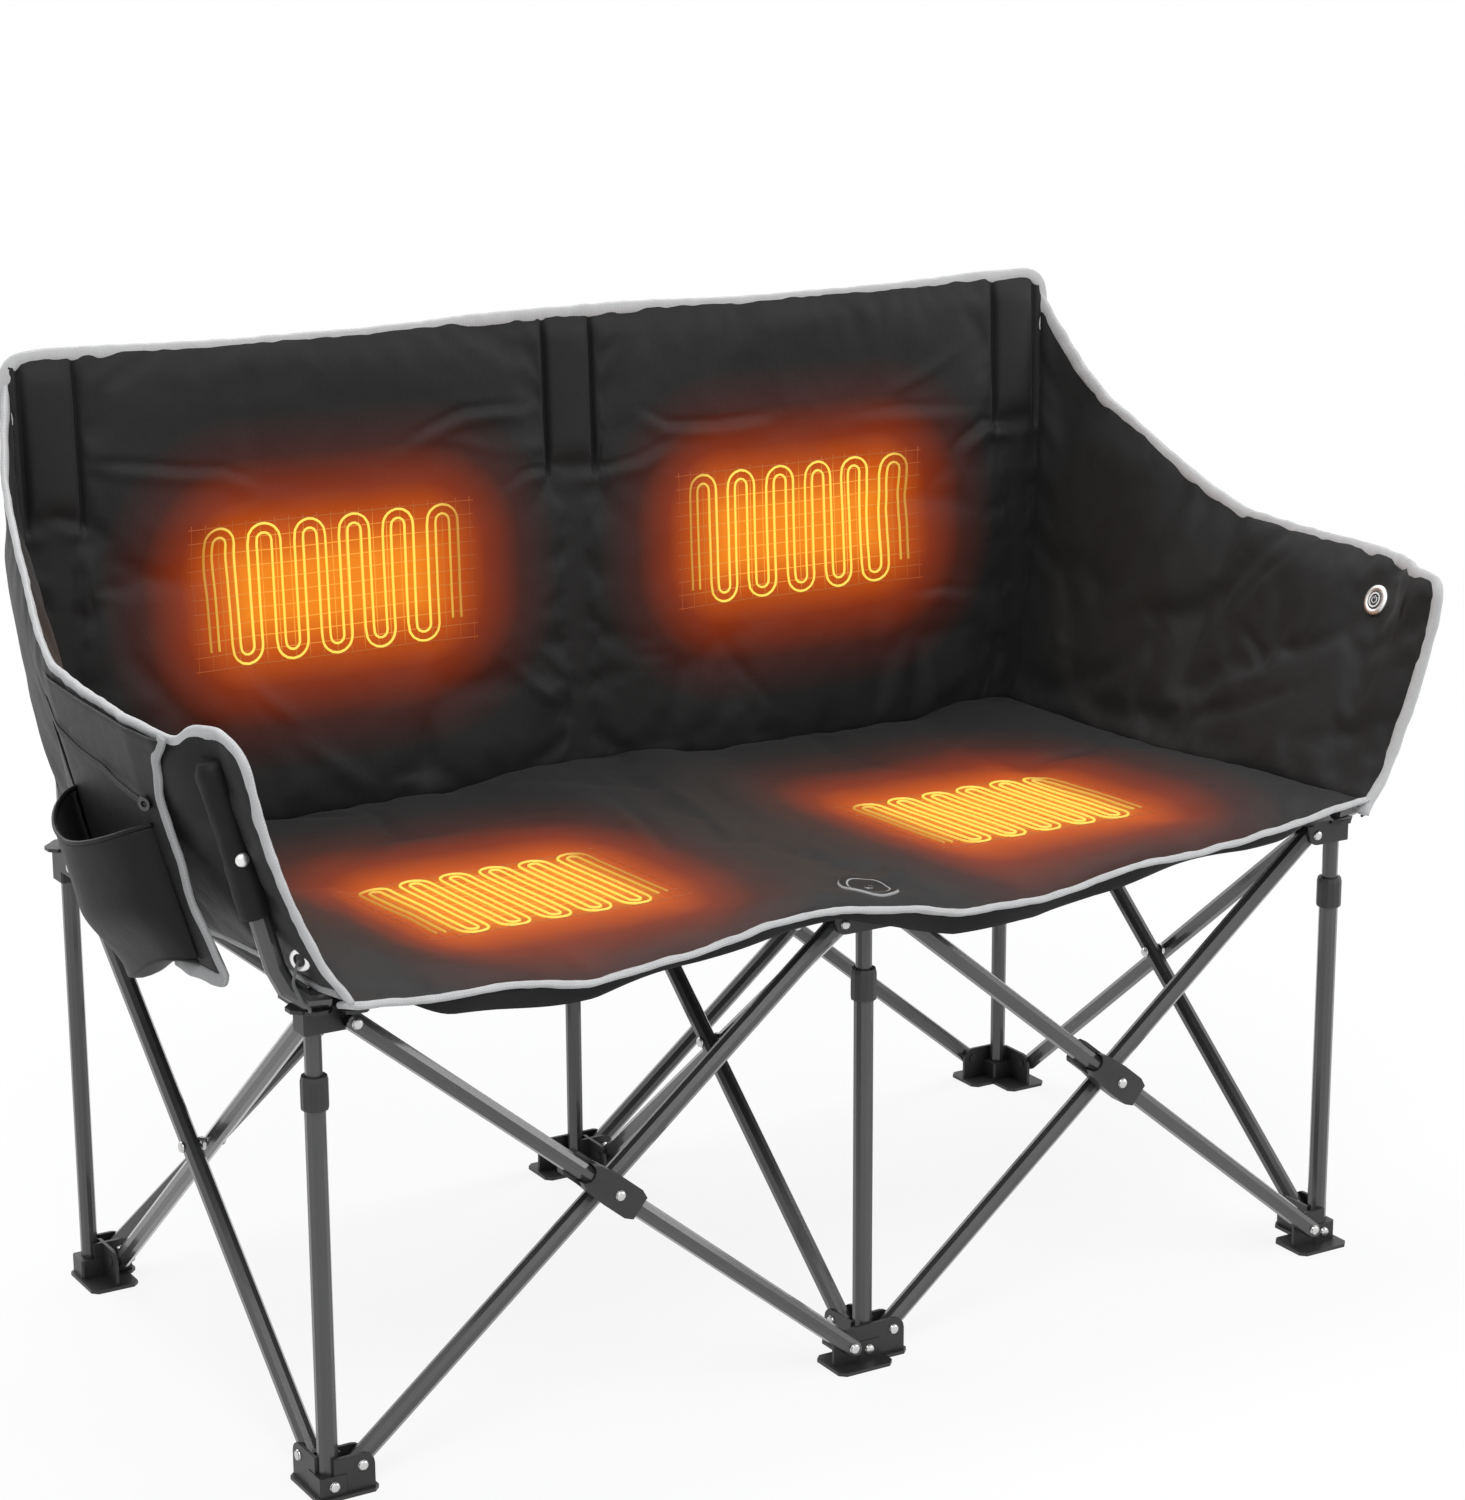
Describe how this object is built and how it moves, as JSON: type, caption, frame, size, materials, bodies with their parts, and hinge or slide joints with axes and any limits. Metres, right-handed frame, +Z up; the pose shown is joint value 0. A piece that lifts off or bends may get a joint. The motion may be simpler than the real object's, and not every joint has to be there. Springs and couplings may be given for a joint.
{
  "type": "folding camping loveseat",
  "caption": "Folding two-place camping seat: crossed-bar tube frame on moulded feet, sling seat and back, raised arms, heating pads and a side organizer.",
  "frame": {"origin": "on the ground, midway between the left and right sides and between front and rear", "axes": "+Z up, -Y towards the front, +X to the right as seen from the front"},
  "size_m": [1.3596, 0.664, 0.9313],
  "materials": {
    "frame_tube": "dark grey powder coat, satin",
    "moulding": "black, fine grain",
    "fabric": "black woven polyester",
    "bright_metal": "bright, satin",
    "heating_sheet": "thin sheet with heating wire, shown switched on"
  },
  "bodies": {
    "front_middle_leg": {"foot_front_middle": "moulding", "leg_front_middle": "frame_tube", "collar_front_middle": "moulding"},
    "front_left_leg": {"foot_front_left": "moulding", "leg_front_left": "frame_tube", "collar_front_left": "moulding"},
    "front_right_leg": {"foot_front_right": "moulding", "leg_front_right": "frame_tube", "collar_front_right": "moulding"},
    "front_left_hub": {"hub_front_left": "moulding", "inner_tube_left": "frame_tube", "arm_post_left": "frame_tube", "arm_left": "fabric", "organizer_left": "fabric"},
    "rear_left_leg": {"foot_rear_left": "moulding", "upright_rear_left": "frame_tube"},
    "rear_left_hub": {"hub_rear_left": "moulding"},
    "depth_inner_left": {"bar_depth_inner_left": "frame_tube", "rivet_depth_left": "bright_metal"},
    "depth_outer_left": {"bar_depth_outer_left": "frame_tube"},
    "front_middle_hub": {"hub_front_middle": "moulding", "inner_tube_middle": "frame_tube"},
    "rear_middle_leg": {"foot_rear_middle": "moulding", "upright_rear_middle": "frame_tube", "back_panel": "fabric", "heating_pad_back_left": "heating_sheet", "heating_pad_back_right": "heating_sheet"},
    "rear_middle_hub": {"hub_rear_middle": "moulding"},
    "depth_inner_middle": {"bar_depth_inner_middle": "frame_tube", "rivet_depth_middle": "bright_metal", "seat_rear": "fabric"},
    "depth_outer_middle": {"bar_depth_outer_middle": "frame_tube", "seat_front": "fabric", "heating_pad_seat_left": "heating_sheet", "heating_pad_seat_right": "heating_sheet"},
    "front_right_hub": {"hub_front_right": "moulding", "inner_tube_right": "frame_tube", "arm_post_right": "frame_tube", "arm_right": "fabric", "button_housing": "moulding"},
    "rear_right_leg": {"foot_rear_right": "moulding", "upright_rear_right": "frame_tube"},
    "rear_right_hub": {"hub_rear_right": "moulding"},
    "depth_inner_right": {"bar_depth_inner_right": "frame_tube", "rivet_depth_right": "bright_metal"},
    "depth_outer_right": {"bar_depth_outer_right": "frame_tube"},
    "front_outer_left": {"bar_front_outer_upper_left": "frame_tube", "bar_front_outer_lower_left": "frame_tube", "mid_joint_left": "moulding"},
    "front_inner_left": {"bar_front_inner_left": "frame_tube"},
    "rear_outer_left": {"bar_rear_outer_left": "frame_tube"},
    "rear_inner_left": {"bar_rear_inner_left": "frame_tube"},
    "front_outer_right": {"bar_front_outer_upper_right": "frame_tube", "bar_front_outer_lower_right": "frame_tube", "mid_joint_right": "moulding"},
    "front_inner_right": {"bar_front_inner_right": "frame_tube"},
    "rear_outer_right": {"bar_rear_outer_right": "frame_tube"},
    "rear_inner_right": {"bar_rear_inner_right": "frame_tube"},
    "power_button": {"power_button": "bright_metal"}
  },
  "joints": [
    {"name": "fold", "type": "hinge", "parent": "front_middle_leg", "child": "front_outer_left", "pos_m": [-0.028, -0.294, 0.026], "axis": [0, 1, 0], "range_deg": [0, 46.5], "deforming": ["seat_front", "seat_rear", "back_panel", "arm_left", "arm_right", "organizer_left", "heating_pad_seat_left", "heating_pad_seat_right", "heating_pad_back_left", "heating_pad_back_right"]},
    {"name": "front_cross_left", "type": "hinge", "parent": "front_outer_left", "child": "front_inner_left", "pos_m": [-0.278, -0.283, 0.2325], "axis": [0, 1, 0], "range_deg": [-93, 0]},
    {"name": "front_left_foot_pivot", "type": "hinge", "parent": "front_inner_left", "child": "front_left_leg", "pos_m": [-0.528, -0.272, 0.026], "axis": [0, 1, 0], "range_deg": [0, 46.5]},
    {"name": "front_left_hub_pivot", "type": "hinge", "parent": "front_outer_left", "child": "front_left_hub", "pos_m": [-0.528, -0.294, 0.439], "axis": [0, 1, 0], "range_deg": [-46.5, 0]},
    {"name": "front_middle_hub_pivot", "type": "hinge", "parent": "front_inner_left", "child": "front_middle_hub", "pos_m": [-0.028, -0.272, 0.439], "axis": [0, 1, 0], "range_deg": [0, 46.5]},
    {"name": "front_middle_foot_pivot", "type": "hinge", "parent": "front_middle_leg", "child": "front_inner_right", "pos_m": [0.028, -0.272, 0.026], "axis": [0, 1, 0], "range_deg": [-46.5, 0]},
    {"name": "front_cross_right", "type": "hinge", "parent": "front_inner_right", "child": "front_outer_right", "pos_m": [0.278, -0.283, 0.2325], "axis": [0, 1, 0], "range_deg": [0, 93]},
    {"name": "front_right_foot_pivot", "type": "hinge", "parent": "front_outer_right", "child": "front_right_leg", "pos_m": [0.528, -0.294, 0.026], "axis": [0, 1, 0], "range_deg": [-46.5, 0]},
    {"name": "front_right_hub_pivot", "type": "hinge", "parent": "front_inner_right", "child": "front_right_hub", "pos_m": [0.528, -0.272, 0.439], "axis": [0, 1, 0], "range_deg": [0, 46.5]},
    {"name": "depth_foot_pivot_middle", "type": "hinge", "parent": "front_middle_leg", "child": "depth_inner_middle", "pos_m": [0, -0.237, 0.026], "axis": [1, 0, 0], "range_deg": [0, 46.5]},
    {"name": "depth_cross_middle", "type": "hinge", "parent": "depth_inner_middle", "child": "depth_outer_middle", "pos_m": [0.011, 0.013, 0.2325], "axis": [1, 0, 0], "range_deg": [-93, 0]},
    {"name": "rear_middle_foot_pivot", "type": "hinge", "parent": "depth_outer_middle", "child": "rear_middle_leg", "pos_m": [0.022, 0.263, 0.026], "axis": [1, 0, 0], "range_deg": [0, 46.5]},
    {"name": "rear_middle_hub_pivot", "type": "hinge", "parent": "depth_inner_middle", "child": "rear_middle_hub", "pos_m": [0, 0.263, 0.439], "axis": [1, 0, 0], "range_deg": [-46.5, 0]},
    {"name": "depth_foot_pivot_left", "type": "hinge", "parent": "front_left_leg", "child": "depth_inner_left", "pos_m": [-0.556, -0.237, 0.026], "axis": [1, 0, 0], "range_deg": [0, 46.5]},
    {"name": "depth_cross_left", "type": "hinge", "parent": "depth_inner_left", "child": "depth_outer_left", "pos_m": [-0.545, 0.013, 0.2325], "axis": [1, 0, 0], "range_deg": [-93, 0]},
    {"name": "rear_left_foot_pivot", "type": "hinge", "parent": "depth_outer_left", "child": "rear_left_leg", "pos_m": [-0.534, 0.263, 0.026], "axis": [1, 0, 0], "range_deg": [0, 46.5]},
    {"name": "rear_left_hub_pivot", "type": "hinge", "parent": "depth_inner_left", "child": "rear_left_hub", "pos_m": [-0.556, 0.263, 0.439], "axis": [1, 0, 0], "range_deg": [-46.5, 0]},
    {"name": "depth_foot_pivot_right", "type": "hinge", "parent": "front_right_leg", "child": "depth_inner_right", "pos_m": [0.556, -0.237, 0.026], "axis": [1, 0, 0], "range_deg": [0, 46.5]},
    {"name": "depth_cross_right", "type": "hinge", "parent": "depth_inner_right", "child": "depth_outer_right", "pos_m": [0.567, 0.013, 0.2325], "axis": [1, 0, 0], "range_deg": [-93, 0]},
    {"name": "rear_right_foot_pivot", "type": "hinge", "parent": "depth_outer_right", "child": "rear_right_leg", "pos_m": [0.578, 0.263, 0.026], "axis": [1, 0, 0], "range_deg": [0, 46.5]},
    {"name": "rear_right_hub_pivot", "type": "hinge", "parent": "depth_inner_right", "child": "rear_right_hub", "pos_m": [0.556, 0.263, 0.439], "axis": [1, 0, 0], "range_deg": [-46.5, 0]},
    {"name": "rear_outer_foot_pivot_left", "type": "hinge", "parent": "rear_middle_leg", "child": "rear_outer_left", "pos_m": [-0.028, 0.32, 0.026], "axis": [0, 1, 0], "range_deg": [0, 46.5]},
    {"name": "rear_cross_left", "type": "hinge", "parent": "rear_outer_left", "child": "rear_inner_left", "pos_m": [-0.278, 0.309, 0.2325], "axis": [0, 1, 0], "range_deg": [-93, 0]},
    {"name": "rear_inner_foot_pivot_right", "type": "hinge", "parent": "rear_middle_leg", "child": "rear_inner_right", "pos_m": [0.028, 0.298, 0.026], "axis": [0, 1, 0], "range_deg": [-46.5, 0]},
    {"name": "rear_cross_right", "type": "hinge", "parent": "rear_inner_right", "child": "rear_outer_right", "pos_m": [0.278, 0.309, 0.2325], "axis": [0, 1, 0], "range_deg": [0, 93]},
    {"name": "button_press", "type": "slide", "parent": "front_right_hub", "child": "power_button", "axis": [0.9278, 0, -0.373], "range_m": [0, 0.0015], "stiffness_N_per_m": 400, "springref_m": -0.001}
  ],
  "couplings": [
    {"joint": "front_cross_left", "follows": "fold", "ratio": -2},
    {"joint": "front_left_foot_pivot", "follows": "fold", "ratio": 1},
    {"joint": "front_left_hub_pivot", "follows": "fold", "ratio": -1},
    {"joint": "front_middle_hub_pivot", "follows": "fold", "ratio": 1},
    {"joint": "front_middle_foot_pivot", "follows": "fold", "ratio": -1},
    {"joint": "front_cross_right", "follows": "fold", "ratio": 2},
    {"joint": "front_right_foot_pivot", "follows": "fold", "ratio": -1},
    {"joint": "front_right_hub_pivot", "follows": "fold", "ratio": 1},
    {"joint": "depth_foot_pivot_middle", "follows": "fold", "ratio": 1},
    {"joint": "depth_cross_middle", "follows": "fold", "ratio": -2},
    {"joint": "rear_middle_foot_pivot", "follows": "fold", "ratio": 1},
    {"joint": "rear_middle_hub_pivot", "follows": "fold", "ratio": -1},
    {"joint": "depth_foot_pivot_left", "follows": "fold", "ratio": 1},
    {"joint": "depth_cross_left", "follows": "fold", "ratio": -2},
    {"joint": "rear_left_foot_pivot", "follows": "fold", "ratio": 1},
    {"joint": "rear_left_hub_pivot", "follows": "fold", "ratio": -1},
    {"joint": "depth_foot_pivot_right", "follows": "fold", "ratio": 1},
    {"joint": "depth_cross_right", "follows": "fold", "ratio": -2},
    {"joint": "rear_right_foot_pivot", "follows": "fold", "ratio": 1},
    {"joint": "rear_right_hub_pivot", "follows": "fold", "ratio": -1},
    {"joint": "rear_outer_foot_pivot_left", "follows": "fold", "ratio": 1},
    {"joint": "rear_cross_left", "follows": "fold", "ratio": -2},
    {"joint": "rear_inner_foot_pivot_right", "follows": "fold", "ratio": -1},
    {"joint": "rear_cross_right", "follows": "fold", "ratio": 2}
  ]
}
